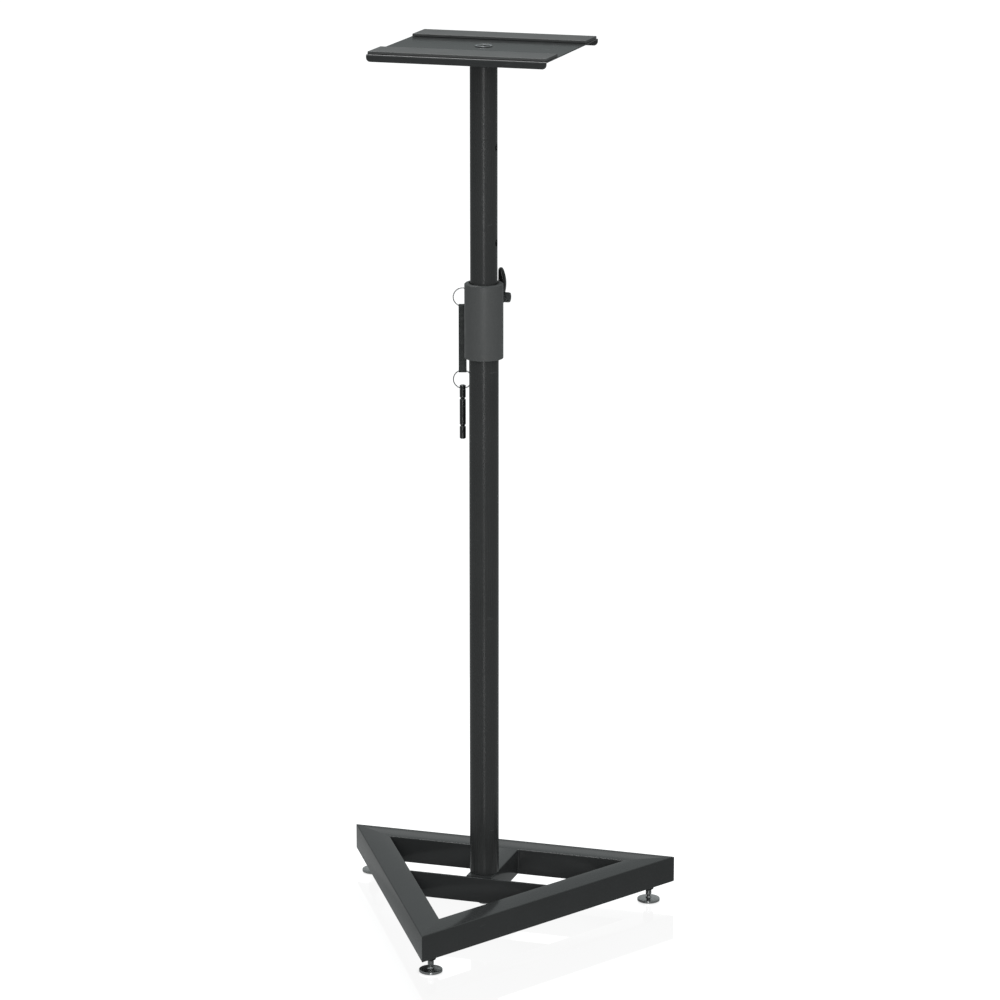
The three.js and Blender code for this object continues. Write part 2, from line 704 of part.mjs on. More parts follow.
function platformScrewGeometry() {
  const tip = platformHeadBottom - platformScrewLength;
  const soft = (platformHeadTop - platformHeadBottom) / 2;
  return turned([
    [0, tip], [mainScrewRadius, tip],
    [mainScrewRadius, platformHeadBottom], [platformHeadRadius, platformHeadBottom],
    [platformHeadRadius, platformHeadTop - soft], [platformHeadRadius - soft, platformHeadTop],
    [0, platformHeadTop],
  ], discSides);
}

function upperColumn() {
  const padY = plateDepth / 2 - padInset - padWidth / 2;
  const frontPad = piece('front_pad', padGeometry(), 'rubber');
  frontPad.position.y = -padY;
  const backPad = piece('back_pad', padGeometry(), 'rubber');
  backPad.position.y = padY;
  const washerBottom = plateTop + seatGap;
  const group = new THREE.Group();
  group.position.set(0, columnY, 0);
  group.add(
    piece('guide_bush', guideBushGeometry(), 'nylon'),
    piece('upper_tube', upperTubeGeometry(), 'powderCoat'),
    piece('top_plug', topPlugGeometry(), 'powderCoat'),
    piece('platform_plate', plateGeometry(), 'powderCoat'),
    frontPad,
    backPad,
    piece('platform_washer', ring(platformWasherRadius, mainScrewRadius + screwClearance,
      washerBottom, washerBottom + platformWasherThick, hubSides), 'zinc'),
    piece('platform_bolt', platformScrewGeometry(), 'zinc'),
  );
  return group;
}

// ---------------------------------------------------------------- assembly

function fixedColumn() {
  const group = new THREE.Group();
  group.position.set(0, columnY, 0);
  group.add(
    piece('lower_tube', ring(lowerTubeRadius, lowerTubeInner, lowerTubeBottom, lowerTubeTop,
      tubeSides), 'powderCoat'),
    piece('collar', collarGeometry(), 'collarCoat'),
    piece('collar_liner', linerGeometry(), 'nylon'),
  );
  return group;
}

const stand = new THREE.Group();
['back_rail', 'left_rail', 'right_rail'].forEach((name, index) => {
  stand.add(piece(name, railGeometry(index), 'powderCoat'));
});
stand.add(
  piece('stub_tube', stubGeometry(), 'powderCoat'),
  piece('cross_bar', crossBarGeometry(), 'powderCoat'),
  baseColumnFixings(),
  ...Object.keys(footPlaces).map(foot),
  fixedColumn(),
  clamp(),
  lanyard(),
  upperColumn(),
);

export default stand;
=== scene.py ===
import math

import bmesh
import bpy
from mathutils import Matrix, Vector


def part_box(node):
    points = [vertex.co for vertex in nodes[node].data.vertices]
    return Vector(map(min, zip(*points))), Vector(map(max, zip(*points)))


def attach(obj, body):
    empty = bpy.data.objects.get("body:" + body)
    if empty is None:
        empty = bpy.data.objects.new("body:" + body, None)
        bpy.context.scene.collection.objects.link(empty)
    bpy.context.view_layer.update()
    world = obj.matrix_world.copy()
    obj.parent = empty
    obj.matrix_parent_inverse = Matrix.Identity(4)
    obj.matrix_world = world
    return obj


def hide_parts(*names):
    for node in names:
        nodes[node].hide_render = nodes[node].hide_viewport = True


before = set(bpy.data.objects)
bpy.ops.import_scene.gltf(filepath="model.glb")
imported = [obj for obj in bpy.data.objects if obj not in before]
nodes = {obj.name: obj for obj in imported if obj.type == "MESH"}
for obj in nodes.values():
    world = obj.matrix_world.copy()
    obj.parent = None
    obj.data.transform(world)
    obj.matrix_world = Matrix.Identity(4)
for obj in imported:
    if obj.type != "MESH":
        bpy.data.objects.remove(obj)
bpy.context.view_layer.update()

scene = bpy.context.scene
MM = 0.001
TINY = 1e-6

# ------------------------------------------------------------------ camera

# In metres, at the photograph's viewing angle.
CAMERA_PLACE = (1.5091, -4.6751, 1.8281)
CAMERA_TILT = math.radians(75.75)
CAMERA_TURN = math.radians(17.42)

camera_data = bpy.data.cameras.new("camera")
camera_data.lens = 143.13
camera_data.sensor_width = 36
camera = bpy.data.objects.new("camera", camera_data)
camera.location = CAMERA_PLACE
camera.rotation_euler = (CAMERA_TILT, 0, CAMERA_TURN)
scene.collection.objects.link(camera)
scene.camera = camera
scene.view_settings.view_transform = "Standard"


# ------------------------------------------------------------------ materials

def new_material(name, **sockets):
    """A material with one Principled shader, with its node tree."""
    material = bpy.data.materials.new(name)
    material.use_nodes = True
    tree = material.node_tree
    shader = tree.nodes["Principled BSDF"]
    for socket, value in sockets.items():
        shader.inputs[socket.replace("_", " ")].default_value = value
    return material, tree, shader


def noise(tree, scale, detail=3.0, stretch=(1, 1, 1)):
    """Noise in the object's own coordinates, in features per metre."""
    coordinates = tree.nodes.new("ShaderNodeTexCoord")
    mapping = tree.nodes.new("ShaderNodeMapping")
    mapping.inputs["Scale"].default_value = stretch
    texture = tree.nodes.new("ShaderNodeTexNoise")
    texture.inputs["Scale"].default_value = scale
    texture.inputs["Detail"].default_value = detail
    tree.links.new(coordinates.outputs["Object"], mapping.inputs["Vector"])
    tree.links.new(mapping.outputs["Vector"], texture.inputs["Vector"])
    return texture.outputs["Fac"]


def ramp(tree, factor, low, high, start=0.35, end=0.65):
    """Two colours, or two greys, blended by a factor."""
    node = tree.nodes.new("ShaderNodeValToRGB")
    for element, place, value in zip(node.color_ramp.elements, (start, end), (low, high)):
        element.position = place
        element.color = (value, value, value, 1) if isinstance(value, float) else (*value, 1)
    tree.links.new(factor, node.inputs["Fac"])
    return node.outputs["Color"]


def mix(tree, factor, a, b, blend="MIX"):
    node = tree.nodes.new("ShaderNodeMix")
    node.data_type = "RGBA"
    node.blend_type = blend
    if isinstance(factor, float):
        node.inputs["Factor"].default_value = factor
    else:
        tree.links.new(factor, node.inputs["Factor"])
    for key, value in (("A", a), ("B", b)):
        socket = next(s for s in node.inputs if s.name == key and s.type == "RGBA")
        if isinstance(value, tuple):
            socket.default_value = (*value, 1)
        else:
            tree.links.new(value, socket)
    return next(s for s in node.outputs if s.type == "RGBA")


def add_bump(tree, shader, layers):
    """Bump nodes in a row: (height, strength, depth in mm)."""
    normal = None
    for height, strength, depth in layers:
        node = tree.nodes.new("ShaderNodeBump")
        node.inputs["Strength"].default_value = strength
        node.inputs["Distance"].default_value = depth * MM
        tree.links.new(height, node.inputs["Height"])
        if normal:
            tree.links.new(normal, node.inputs["Normal"])
        normal = node.outputs["Normal"]
    tree.links.new(normal, shader.inputs["Normal"])


def scaled(colour, factor):
    return tuple(min(1.0, c * factor) for c in colour)


def mottled(tree, colour, scale, detail, low, high):
    """A colour in soft patches, from low to high times its brightness."""
    patches = noise(tree, scale, detail)
    return ramp(tree, patches, scaled(colour, low), scaled(colour, high), 0.3, 0.7)


def roughen(tree, shader, factor, low, high, start=0.35, end=0.65):
    """Roughness between two values, blended by a factor."""
    tree.links.new(ramp(tree, factor, low, high, start, end), shader.inputs["Roughness"])


def coat(name, colour, roughness, peel=0.3, drawn=False, level=0.3):
    """Baked paint: fine peel, faint mottling and a few hairline scuffs.

    Drawn tube shows faint lines along its length through the paint.
    """
    material, tree, shader = new_material(name, Specular_IOR_Level=level)
    mottle = mottled(tree, colour, 12, 4, 0.94, 1.06)
    speckle = ramp(tree, noise(tree, 2400, 2), 0.9, 1.1, 0.4, 0.6)
    base = mix(tree, 1.0, mottle, speckle, "MULTIPLY")
    scuffs = ramp(tree, noise(tree, 26, 6, (1, 1, 9)), 0.0, 1.0, 0.70, 0.74)
    tree.links.new(mix(tree, scuffs, base, scaled(colour, 1.7)), shader.inputs["Base Color"])
    lines = noise(tree, 700, 3, (1, 1, 0.02)) if drawn else noise(tree, 60, 4)
    roughen(tree, shader, lines, roughness * 0.9, roughness * 1.12)
    bumps = [(noise(tree, 650, 3), peel, 0.03)]
    if drawn:
        bumps.append((lines, 0.3, 0.02))
    add_bump(tree, shader, bumps)
    return material


def metal(name, colour, roughness, lines=(1, 1, 1), line_scale=900, line_depth=0.01):
    """Plated or turned metal with fine marks that run along one direction."""
    material, tree, shader = new_material(name, Metallic=1.0)
    tree.links.new(mottled(tree, colour, 120, 5, 0.86, 1.12), shader.inputs["Base Color"])
    marks = noise(tree, line_scale, 3, lines)
    roughen(tree, shader, marks, roughness * 0.75, roughness * 1.4, 0.3, 0.7)
    add_bump(tree, shader, [(marks, 0.35, line_depth)])
    return material


def moulded(name, colour, roughness, grain_scale=1500, grain_depth=0.03, strength=0.4, level=0.5):
    """Plastic or rubber out of a mould: eroded grain and faint sheen patches."""
    material, tree, shader = new_material(name, Specular_IOR_Level=level)
    tint = mottled(tree, colour, 40, 5, 0.9, 1.1)
    dust = ramp(tree, noise(tree, 1300, 4), 0.0, 0.5, 0.66, 0.78)
    tree.links.new(mix(tree, dust, tint, scaled(colour, 2.2)), shader.inputs["Base Color"])
    roughen(tree, shader, noise(tree, 80, 3), roughness * 0.93, roughness * 1.07)
    add_bump(tree, shader, [(noise(tree, grain_scale, 4), strength, grain_depth)])
    return material


def leather(name, colour):
    """Coated strap leather with a cell grain and creases across the strap."""
    material, tree, shader = new_material(name)
    coordinates = tree.nodes.new("ShaderNodeTexCoord")
    cells = tree.nodes.new("ShaderNodeTexVoronoi")
    cells.inputs["Scale"].default_value = 1100
    cells.feature = "DISTANCE_TO_EDGE"
    tree.links.new(coordinates.outputs["Object"], cells.inputs["Vector"])
    tint = mottled(tree, colour, 160, 5, 0.85, 1.15)
    grain = ramp(tree, cells.outputs["Distance"], 0.75, 1.0, 0.0, 0.2)
    tree.links.new(mix(tree, 1.0, tint, grain, "MULTIPLY"), shader.inputs["Base Color"])
    roughen(tree, shader, noise(tree, 240, 3), 0.55, 0.75)
    creases = noise(tree, 30, 4, (2, 2, 14))
    add_bump(tree, shader, [(cells.outputs["Distance"], 0.4, 0.1), (creases, 0.3, 0.15)])
    return material


# Noise squeezed along Z, as the marks of turning are.
TURNING = (1, 1, 8)

# Finishes by name: a linear base colour, then the roughness.
looks = {
    "frame_coat": coat("frame_coat", (0.029, 0.0302, 0.0305), 0.16),
    "tube_coat": coat("tube_coat", (0.0315, 0.0325, 0.0325), 0.26, drawn=True),
    "collar_coat": coat("collar_coat", (0.070, 0.072, 0.072), 0.44, peel=0.2, level=0.5),
    "lever_plastic": moulded("lever_plastic", (0.005, 0.005, 0.005), 0.26),
    "nylon": moulded("nylon", (0.009, 0.009, 0.009), 0.5),
    "zinc_steel": metal("zinc_steel", (0.46, 0.47, 0.48), 0.34),
    "bush_steel": metal("bush_steel", (0.105, 0.11, 0.11), 0.4, line_scale=1500,
                        line_depth=0.03),
    "dark_nickel": metal("dark_nickel", (0.42, 0.425, 0.425), 0.24, TURNING, 500, 0.002),
    "black_oxide": metal("black_oxide", (0.05, 0.05, 0.05), 0.3),
    "pin_steel": metal("pin_steel", (0.10, 0.10, 0.10), 0.16, TURNING, 500, 0.003),
    "ring_wire": metal("ring_wire", (0.22, 0.22, 0.22), 0.2, line_depth=0.004),
    "pad_rubber": moulded("pad_rubber", (0.042, 0.043, 0.043), 0.46, 1800, 0.05, 0.6,
                          level=0.9),
    "strap_leather": leather("strap_leather", (0.034, 0.037, 0.036)),
    "strap_thread": moulded("strap_thread", (0.026, 0.027, 0.027), 0.8, 4000, 0.05, 0.7),
}


# ------------------------------------------------------------------ shapes, in millimetres

def rounded(points, steps=5):
    """A closed outline from (x, y) or (x, y, radius) corners, with the corners rounded."""
    outline = []
    count = len(points)
    for index, point in enumerate(points):
        corner = Vector(point[:2])
        radius = point[2] if len(point) > 2 else 0
        if radius == 0:
            outline.append(tuple(corner))
            continue
        before = (Vector(points[index - 1][:2]) - corner).normalized()
        after = (Vector(points[(index + 1) % count][:2]) - corner).normalized()
        half = before.angle(after) / 2
        reach = radius / math.tan(half)
        centre = corner + (before + after).normalized() * (radius / math.sin(half))
        first = corner + before * reach - centre
        last = corner + after * reach - centre
        turn = first.angle_signed(last)
        for step in range(steps + 1):
            angle = -turn * step / steps
            c, s = math.cos(angle), math.sin(angle)
            outline.append((centre.x + first.x * c - first.y * s,
                            centre.y + first.x * s + first.y * c))
    return outline


def skin(bm, loops, closed_loops=True, closed_rows=False):
    """Quads between rows of vertices. A row of one vertex is a pole."""
    rows = list(zip(loops, loops[1:]))
    if closed_rows:
        rows.append((loops[-1], loops[0]))
    for a, b in rows:
        size = max(len(a), len(b))
        for k in range(size if closed_loops else size - 1):
            n = (k + 1) % size
            corners = [a[k % len(a)], a[n % len(a)], b[n % len(b)], b[k % len(b)]]
            corners = list(dict.fromkeys(corners))
            if len(corners) > 2:
                bm.faces.new(corners)


def turned(profile, segments=72, wave=None, arc=None):
    """A solid of revolution about Z from (radius, height) points.

    A wave(angle, index) is added to the radius. An arc leaves the rest of the turn open.
    """
    bm = bmesh.new()
    start, end = arc or (0, 2 * math.pi)
    count = segments + 1 if arc else segments
    loops = []
    for index, (radius, height) in enumerate(profile):
        if radius < TINY:
            loops.append([bm.verts.new((0, 0, height * MM))])
            continue
        loop = []
        for k in range(count):
            angle = start + (end - start) * k / segments
            r = (radius + (wave(angle, index) if wave else 0)) * MM
            loop.append(bm.verts.new((r * math.cos(angle), r * math.sin(angle), height * MM)))
        loops.append(loop)
    skin(bm, loops, closed_loops=not arc, closed_rows=True)
    if arc:
        bm.faces.new([loop[0] for loop in loops])
        bm.faces.new([loop[-1] for loop in loops])
    return bm


def extruded(outline, start, end, axis="z"):
    """A prism from an outline. Along x the outline is (y, z), along y (x, z), along z (x, y)."""
    to_space = {
        "x": lambda a, b, t: (t, a, b),
        "y": lambda a, b, t: (a, t, b),
        "z": lambda a, b, t: (a, b, t),
    }[axis]
    bm = bmesh.new()
    loops = [[bm.verts.new(Vector(to_space(a, b, t)) * MM) for a, b in outline]
             for t in (start, end)]
    skin(bm, loops)
    for loop in loops:
        bm.faces.new(loop)
    return bm


def swept(frames, section, closed=False):
    """A section of (a, b) points along frames of (point, a direction, b direction, scale)."""
    bm = bmesh.new()
    loops = []
    for point, a_axis, b_axis, scale in frames:
        loops.append([bm.verts.new((Vector(point) + Vector(a_axis) * a * scale[0]
                                    + Vector(b_axis) * b * scale[1]) * MM) for a, b in section])
    skin(bm, loops, closed_rows=closed)
    if not closed:
        bm.faces.new(loops[0])
        bm.faces.new(loops[-1])
    return bm


def round_section(radius, count=12):
    angles = [2 * math.pi * k / count for k in range(count)]
    return [(radius * math.cos(a), radius * math.sin(a)) for a in angles]


def box_section(width, height, radius, steps=3):
    w, h = width / 2, height / 2
    return rounded([(-w, -h, radius), (w, -h, radius), (w, h, radius), (-w, h, radius)], steps)


def soften(bm, edges, size, segments=3):
    """Rounds some edges of a shape."""
    bmesh.ops.bevel(bm, geom=edges, offset=size * MM, segments=segments, affect="EDGES",
                    profile=0.5)


def object_of(name, bm, smooth=32):
    """A linked object from a shape, with edges sharp from the smooth angle, in degrees, on."""
    bmesh.ops.remove_doubles(bm, verts=bm.verts, dist=1e-7)
    bmesh.ops.recalc_face_normals(bm, faces=bm.faces)
    mesh = bpy.data.meshes.new(name)
    bm.to_mesh(mesh)
    bm.free()
    obj = bpy.data.objects.new(name, mesh)
    scene.collection.objects.link(obj)
    return shade(obj, smooth)


def shade(obj, smooth=32):
    mesh = obj.data
    mesh.polygons.foreach_set("use_smooth", [True] * len(mesh.polygons))
    mesh.set_sharp_from_angle(angle=math.radians(smooth))
    return obj


def move(obj, matrix):
    obj.data.transform(matrix)
    return obj


def boolean(obj, operation, *others):
    """Joins, cuts or keeps the common part with other objects, which are used up."""
    for other in others:
        modifier = obj.modifiers.new(operation, "BOOLEAN")
        modifier.operation = operation
        modifier.solver = "EXACT"
        modifier.object = other
    bpy.context.view_layer.update()
    depsgraph = bpy.context.evaluated_depsgraph_get()
    mesh = bpy.data.meshes.new_from_object(obj.evaluated_get(depsgraph))
    obj.modifiers.clear()
    obj.data = mesh
    for other in others:
        bpy.data.objects.remove(other)
    return shade(obj)


def place(obj, body, look, *replaced):
    """Gives a piece its finish, its body and the CAD nodes that it stands for."""
    obj.data.materials.clear()
    obj.data.materials.append(looks[look])
    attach(obj, body)
    if replaced:
        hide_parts(*replaced)
    return obj


def box_mm(node):
    low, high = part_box(node)
    return low / MM, high / MM


def shift(x, y, z=0):
    return Matrix.Translation(Vector((x, y, z)) * MM)


def over(node):
    """To the middle of a node, at the floor's height."""
    low, high = box_mm(node)
    centre = (low + high) / 2
    return shift(centre.x, centre.y)


def radius_of(node, axis="x"):
    low, high = box_mm(node)
    return (getattr(high, axis) - getattr(low, axis)) / 2


def along_x():
    """Turns a solid of revolution's Z axis onto +X."""
    return Matrix.Rotation(math.pi / 2, 4, "Y")


def ring_profile(outer, inner, bottom, top, edge, bore_edge=0):
    return rounded([(inner, bottom, bore_edge), (outer, bottom, edge), (outer, top, edge),
                    (inner, top, bore_edge)], 4)


def lathed(name, profile, segments, where, body, look, node, **options):
    """A turned piece, set in its place."""
    obj = object_of(name, turned(profile, segments, **options))
    return place(move(obj, where), body, look, node)


def rod(radius, bottom, top, segments):
    """A cylinder to cut a round hole with."""
    profile = [(radius, bottom), (radius, top), (0, top), (0, bottom)]
    return object_of("rod", turned(profile, segments))


def hex_head(flats, height):
    """A hexagon head with its bearing face at height 0 and its chamfered top at the height."""
    apothem = flats / 2
    corner = apothem / math.cos(math.pi / 6)
    rows = [(0, corner), (0.3, corner), (height - 0.9, corner), (height, apothem * 0.97)]
    count = 72
    bm = bmesh.new()
    loops = []
    for level, limit in rows:
        loop = []
        for k in range(count):
            angle = 2 * math.pi * k / count
            turn = (angle + math.pi / 6) % (math.pi / 3) - math.pi / 6
            r = min(apothem / math.cos(turn), limit) * MM
            loop.append(bm.verts.new((r * math.cos(angle), r * math.sin(angle), level * MM)))
        loops.append(loop)
    loops.append([bm.verts.new((0, 0, height * MM))])
    loops.insert(0, [bm.verts.new((0, 0, 0))])
    skin(bm, loops)
    return bm


# A weld bead's ripples: their pitch, their depth as a share, and the step along the bead.
RIPPLE = 1.2
RIPPLE_DEPTH = 0.14
BEAD_STEP = 0.3


def rippled(depth, phase):
    """The scale of a bead's section at a place in its ripples."""
    return 1 - depth + depth * abs(math.sin(phase))


def bead(name, start, end, radius):
    """A straight weld bead with overlapping ripples and round ends, on the base."""
    start, end = Vector(start), Vector(end)
    direction = (end - start).normalized()
    side = direction.orthogonal().normalized()
    other = direction.cross(side)
    length = (end - start).length
    steps = max(8, int(length / BEAD_STEP))
    frames = []
    for k in range(steps + 1):
        t = k / steps
        swell = rippled(RIPPLE_DEPTH, math.pi * length * t / RIPPLE)
        close = min(1, math.sqrt(max(0.0, min(t, 1 - t)) * length / radius + 0.04))
        frames.append((start.lerp(end, t), side, other, (swell * close, swell * close)))
    obj = object_of(name, swept(frames, round_section(radius)), smooth=60)
    return place(obj, "base", "frame_coat")


# ------------------------------------------------------------------ base

# The square tube, and how high it stands.
RAIL = 35.0
WALL = 2.0
RAIL_CORNER = 1.5
RAIL_BOTTOM = 24.0
RAIL_TOP = RAIL_BOTTOM + RAIL
# The frame's outer triangle: its side, its height, and its middle, FACE away from each side.
SIDE = 450.0
HEIGHT = SIDE * math.sqrt(3) / 2
FACE = HEIGHT / 3
MIDDLE_Y = HEIGHT / 2 - FACE
MITRE_GAP = 0.02
# The stub is drawn this far back of its solid, up to the back rail's wall.
STUB_SHIFT = 0.35
INSERT_HOLE = 6.3
FEET = ("front", "right", "left")


def tube_outlines(centre_a, centre_b):
    """The outer and the inner outline of the square tube."""
    sizes = ((RAIL, RAIL_CORNER), (RAIL - 2 * WALL, RAIL_CORNER * 0.6))
    return [[(centre_a + a, centre_b + b) for a, b in box_section(size, size, corner, 4)]
            for size, corner in sizes]


def rail(name, index):
    """A square tube whose ends are cut on the planes that halve the frame's corners."""
    bm = bmesh.new()
    ends = []
    for outline in tube_outlines(FACE - RAIL / 2, RAIL_BOTTOM + RAIL / 2):
        pair = []
        for side in (-1, 1):
            pair.append([])
            for y, z in outline:
                x = side * (SIDE / 2 - (FACE - y) * math.sqrt(3) - MITRE_GAP)
                pair[-1].append(bm.verts.new(Vector((x, y, z)) * MM))
        ends.append(pair)
    for loops in (*ends, *zip(*ends)):
        skin(bm, loops)
    obj = object_of(name + "_tube", bm)
    move(obj, shift(0, MIDDLE_Y) @ Matrix.Rotation(index * 2 * math.pi / 3, 4, "Z"))
    holes = [move(rod(INSERT_HOLE, RAIL_BOTTOM - 5, RAIL_BOTTOM + 2 * WALL, 32),
                  over(f"foot_{side}_insert")) for side in FEET]
    boolean(obj, "DIFFERENCE", *holes)
    return place(obj, "base", "frame_coat", name)


for index, name in enumerate(("back_rail", "left_rail", "right_rail")):
    rail(name, index)

stub_back = box_mm("stub_tube")[1].y + STUB_SHIFT
bar_low, bar_high = box_mm("cross_bar")
stub_front = bar_high.y + STUB_SHIFT
outer, inner = tube_outlines(0, RAIL_BOTTOM + RAIL / 2)
bm = bmesh.new()
loops = [[bm.verts.new(Vector((x, y, z)) * MM) for x, z in outline]
         for outline, y in ((outer, stub_front), (outer, stub_back),
                            (inner, stub_back), (inner, stub_front))]
skin(bm, loops, closed_rows=True)
place(object_of("stub_tube_body", bm), "base", "frame_coat", "stub_tube")

bar_half = bar_high.x
bar_front = bar_half - (bar_high.y - bar_low.y) / math.sqrt(3)
bm = extruded([(-bar_front + 0.1, bar_low.y), (bar_front - 0.1, bar_low.y),
               (bar_half, bar_high.y), (-bar_half, bar_high.y)], bar_low.z, bar_high.z)
soften(bm, list(bm.edges), 0.45)
place(object_of("cross_bar_plate", bm), "base", "frame_coat", "cross_bar")


def upright_bead(name, x, y, top, margin=1, radius=1.1):
    bead(name, (x, y, RAIL_BOTTOM + margin), (x, y, top - margin), radius)


corner_reach = HEIGHT * 2 / 3 - 2 * RAIL - 1.0
for index, side in enumerate(FEET):
    angle = math.radians(-90 + 120 * index)
    upright_bead(f"weld_corner_{side}", corner_reach * math.cos(angle),
                 MIDDLE_Y + corner_reach * math.sin(angle), RAIL_TOP, 1.4)
for side, word in ((-1, "left"), (1, "right")):
    upright_bead(f"weld_stub_{word}", side * (RAIL / 2 + 0.1), HEIGHT / 2 - RAIL - 0.2,
                 RAIL_TOP, radius=1.5)
    upright_bead(f"weld_bar_back_{word}", side * (bar_half - 0.3), bar_high.y + 0.2, bar_high.z)
    upright_bead(f"weld_bar_front_{word}", side * (bar_front - 0.5), bar_low.y - 0.2,
                 bar_high.z)


# ------------------------------------------------------------------ feet

# The disc, its boss's flare round the neck, and the socket that the stud's end sits in.
DISC_THICK = 3.6
FLARE = 3.6
NECK_R = 1.9
SOCKET_R = NECK_R + 0.25
SOCKET_FLOOR = 1.05
# The M8 stud.
STUD_R = 4.0
THREAD_DEPTH = 0.5
PITCH = 1.25
M8_HOLE = 4.3
INSERT_R = 5.9


def thread(radius, bottom, top, waist, count=36):
    """A screw thread as a skin whose radius follows the helix, held in by a waist(z)."""
    bm = bmesh.new()
    steps = int((top - bottom) / PITCH * 8)
    loops = []
    for k in range(steps + 1):
        z = bottom + (top - bottom) * k / steps
        fade = min(1, (z - bottom) / PITCH, (top - z) / PITCH)
        loop = []
        for j in range(count):
            angle = 2 * math.pi * j / count
            phase = (z / PITCH - angle / (2 * math.pi)) % 1
            # A flat crest and a flat root, with straight flanks.
            groove = max(0, min(1, (1 - abs(2 * phase - 1)) * 1.5 - 0.25))
            r = min(radius - THREAD_DEPTH * (1 - fade + fade * groove), waist(z))
            loop.append(bm.verts.new(Vector((r * math.cos(angle), r * math.sin(angle), z)) * MM))
        loops.append(loop)
    loops.insert(0, [bm.verts.new((0, 0, bottom * MM))])
    loops.append([bm.verts.new((0, 0, top * MM))])
    skin(bm, loops)
    return bm


def foot(side):
    body, disc, stud, insert = (f"foot_{side}{word}" for word in ("", "_disc", "_stud", "_insert"))
    where = over(disc)
    radius = radius_of(disc)
    boss_top = box_mm(disc)[1].z
    flare = [(NECK_R + 0.9 + FLARE * (1 - math.sin(a)) ** 1.15,
              DISC_THICK + (boss_top - DISC_THICK) * (1 - math.cos(a)))
             for a in (math.pi / 2 * k / 10 for k in range(11))]
    profile = rounded([
        (0, 0), (radius - 1.2, 0, 0.3), (radius, 0.7, 0.5), (radius, DISC_THICK, 0.5), *flare,
        (SOCKET_R, boss_top), (SOCKET_R, SOCKET_FLOOR), (0, SOCKET_FLOOR)], 4)
    lathed(f"{body}_plate", profile, 96, where, body, "dark_nickel", disc)

    def waist(z):
        return NECK_R + max(0, z - boss_top - 0.5)

    low, high = box_mm(stud)
    screw = object_of(f"{body}_thread", thread(STUD_R, low.z, high.z, waist), smooth=60)
    place(move(screw, where), body, "dark_nickel", stud)

    low, high = box_mm(insert)
    head, seat = radius_of(insert), RAIL_BOTTOM - 0.3
    profile = rounded([
        (M8_HOLE, low.z, 0.4), (head, low.z, 1.6), (head, seat, 0.3), (INSERT_R, seat),
        (INSERT_R, high.z, 0.5), (M8_HOLE, high.z, 0.2)], 5)
    lathed(f"{body}_bush", profile, 64, where, "base", "nylon", insert)


for side in FEET:
    foot(side)


# ------------------------------------------------------------------ column, fixed part

GAP = 0.3
LOWER_WALL = 1.2
# Both ears: half their width, their height, the distance from their arc's middle to its chord.
EAR = 8.5
EAR_HEIGHT = 47.4
EAR_CHORD = 8.0
EAR_STEPS = 24
SLOT = 3.0
LINER_HALF_SLOT = 1.6

column_low, column_high = box_mm("lower_tube")
COLUMN_Y = (column_low.y + column_high.y) / 2
LOWER_R = radius_of("lower_tube")
UPPER_R = radius_of("upper_tube")
COLLAR_R = radius_of("collar")
axis = shift(0, COLUMN_Y)

lathed("lower_tube_body",
       ring_profile(LOWER_R, LOWER_R - LOWER_WALL, column_low.z, column_high.z, 0.35, 0.2),
       128, axis, "base", "tube_coat", "lower_tube")

collar_low, collar_high = box_mm("collar")
clamp_low, clamp_high = box_mm("lever_bush")
CLAMP_Y = (clamp_low.y + clamp_high.y) / 2
CLAMP_Z = (clamp_low.z + clamp_high.z) / 2
EAR_REACH = collar_high.y - COLUMN_Y
EAR_BOTTOM = CLAMP_Z - EAR_HEIGHT / 2
EAR_TOP = CLAMP_Z + EAR_HEIGHT / 2
bore = LOWER_R + GAP

sleeve = object_of("collar_body", turned(rounded([
    (bore, collar_low.z, 0.5), (COLLAR_R, collar_low.z, 0.9),
    (COLLAR_R, collar_high.z - 1.5, 0.5), (COLLAR_R - 1.5, collar_high.z, 0.5),
    (bore, collar_high.z, 0.5)], 4), 144))
arc_r = math.hypot(EAR_CHORD, EAR_HEIGHT / 2)
arc_middle = EAR_REACH - arc_r
outline = [(bore + 0.6, EAR_BOTTOM)]
for k in range(EAR_STEPS + 1):
    angle = -math.asin(EAR_HEIGHT / 2 / arc_r) * (1 - 2 * k / EAR_STEPS)
    outline.append((arc_middle + arc_r * math.cos(angle), CLAMP_Z + arc_r * math.sin(angle)))
outline.append((bore + 0.6, EAR_TOP))
bm = extruded(outline, -EAR, EAR, "x")
bmesh.ops.recalc_face_normals(bm, faces=bm.faces)
rims = [e for e in bm.edges if abs(abs(e.verts[0].co.x) - EAR * MM) < TINY
        and abs(e.verts[0].co.x - e.verts[1].co.x) < TINY]
soften(bm, rims, 0.7)
ears = object_of("ears", bm)
slot_length = EAR_REACH + 4
slot_tool = object_of("slot", extruded(
    box_section(SLOT, slot_length, 0.1, 1), EAR_BOTTOM - 0.5, collar_high.z + 3))
move(slot_tool, shift(0, slot_length / 2))
bore_tool = rod(bore, collar_low.z - 3, collar_high.z + 3, 144)
hole_tool = move(rod(M8_HOLE, -20, 20, 40), shift(0, CLAMP_Y - COLUMN_Y, CLAMP_Z) @ along_x())
boolean(sleeve, "UNION", ears)
boolean(sleeve, "DIFFERENCE", bore_tool, slot_tool, hole_tool)
place(move(sleeve, axis), "base", "collar_coat", "collar")

liner_low, liner_high = box_mm("collar_liner")
half_slot = math.asin(LINER_HALF_SLOT / LOWER_R)
lathed("collar_liner_sleeve",
       ring_profile(LOWER_R, UPPER_R + GAP, liner_low.z, liner_high.z, 0.25, 0.4), 128, axis,
       "base", "nylon", "collar_liner", arc=(math.pi / 2 + half_slot, math.pi * 5 / 2 - half_slot))


# ------------------------------------------------------------------ clamp

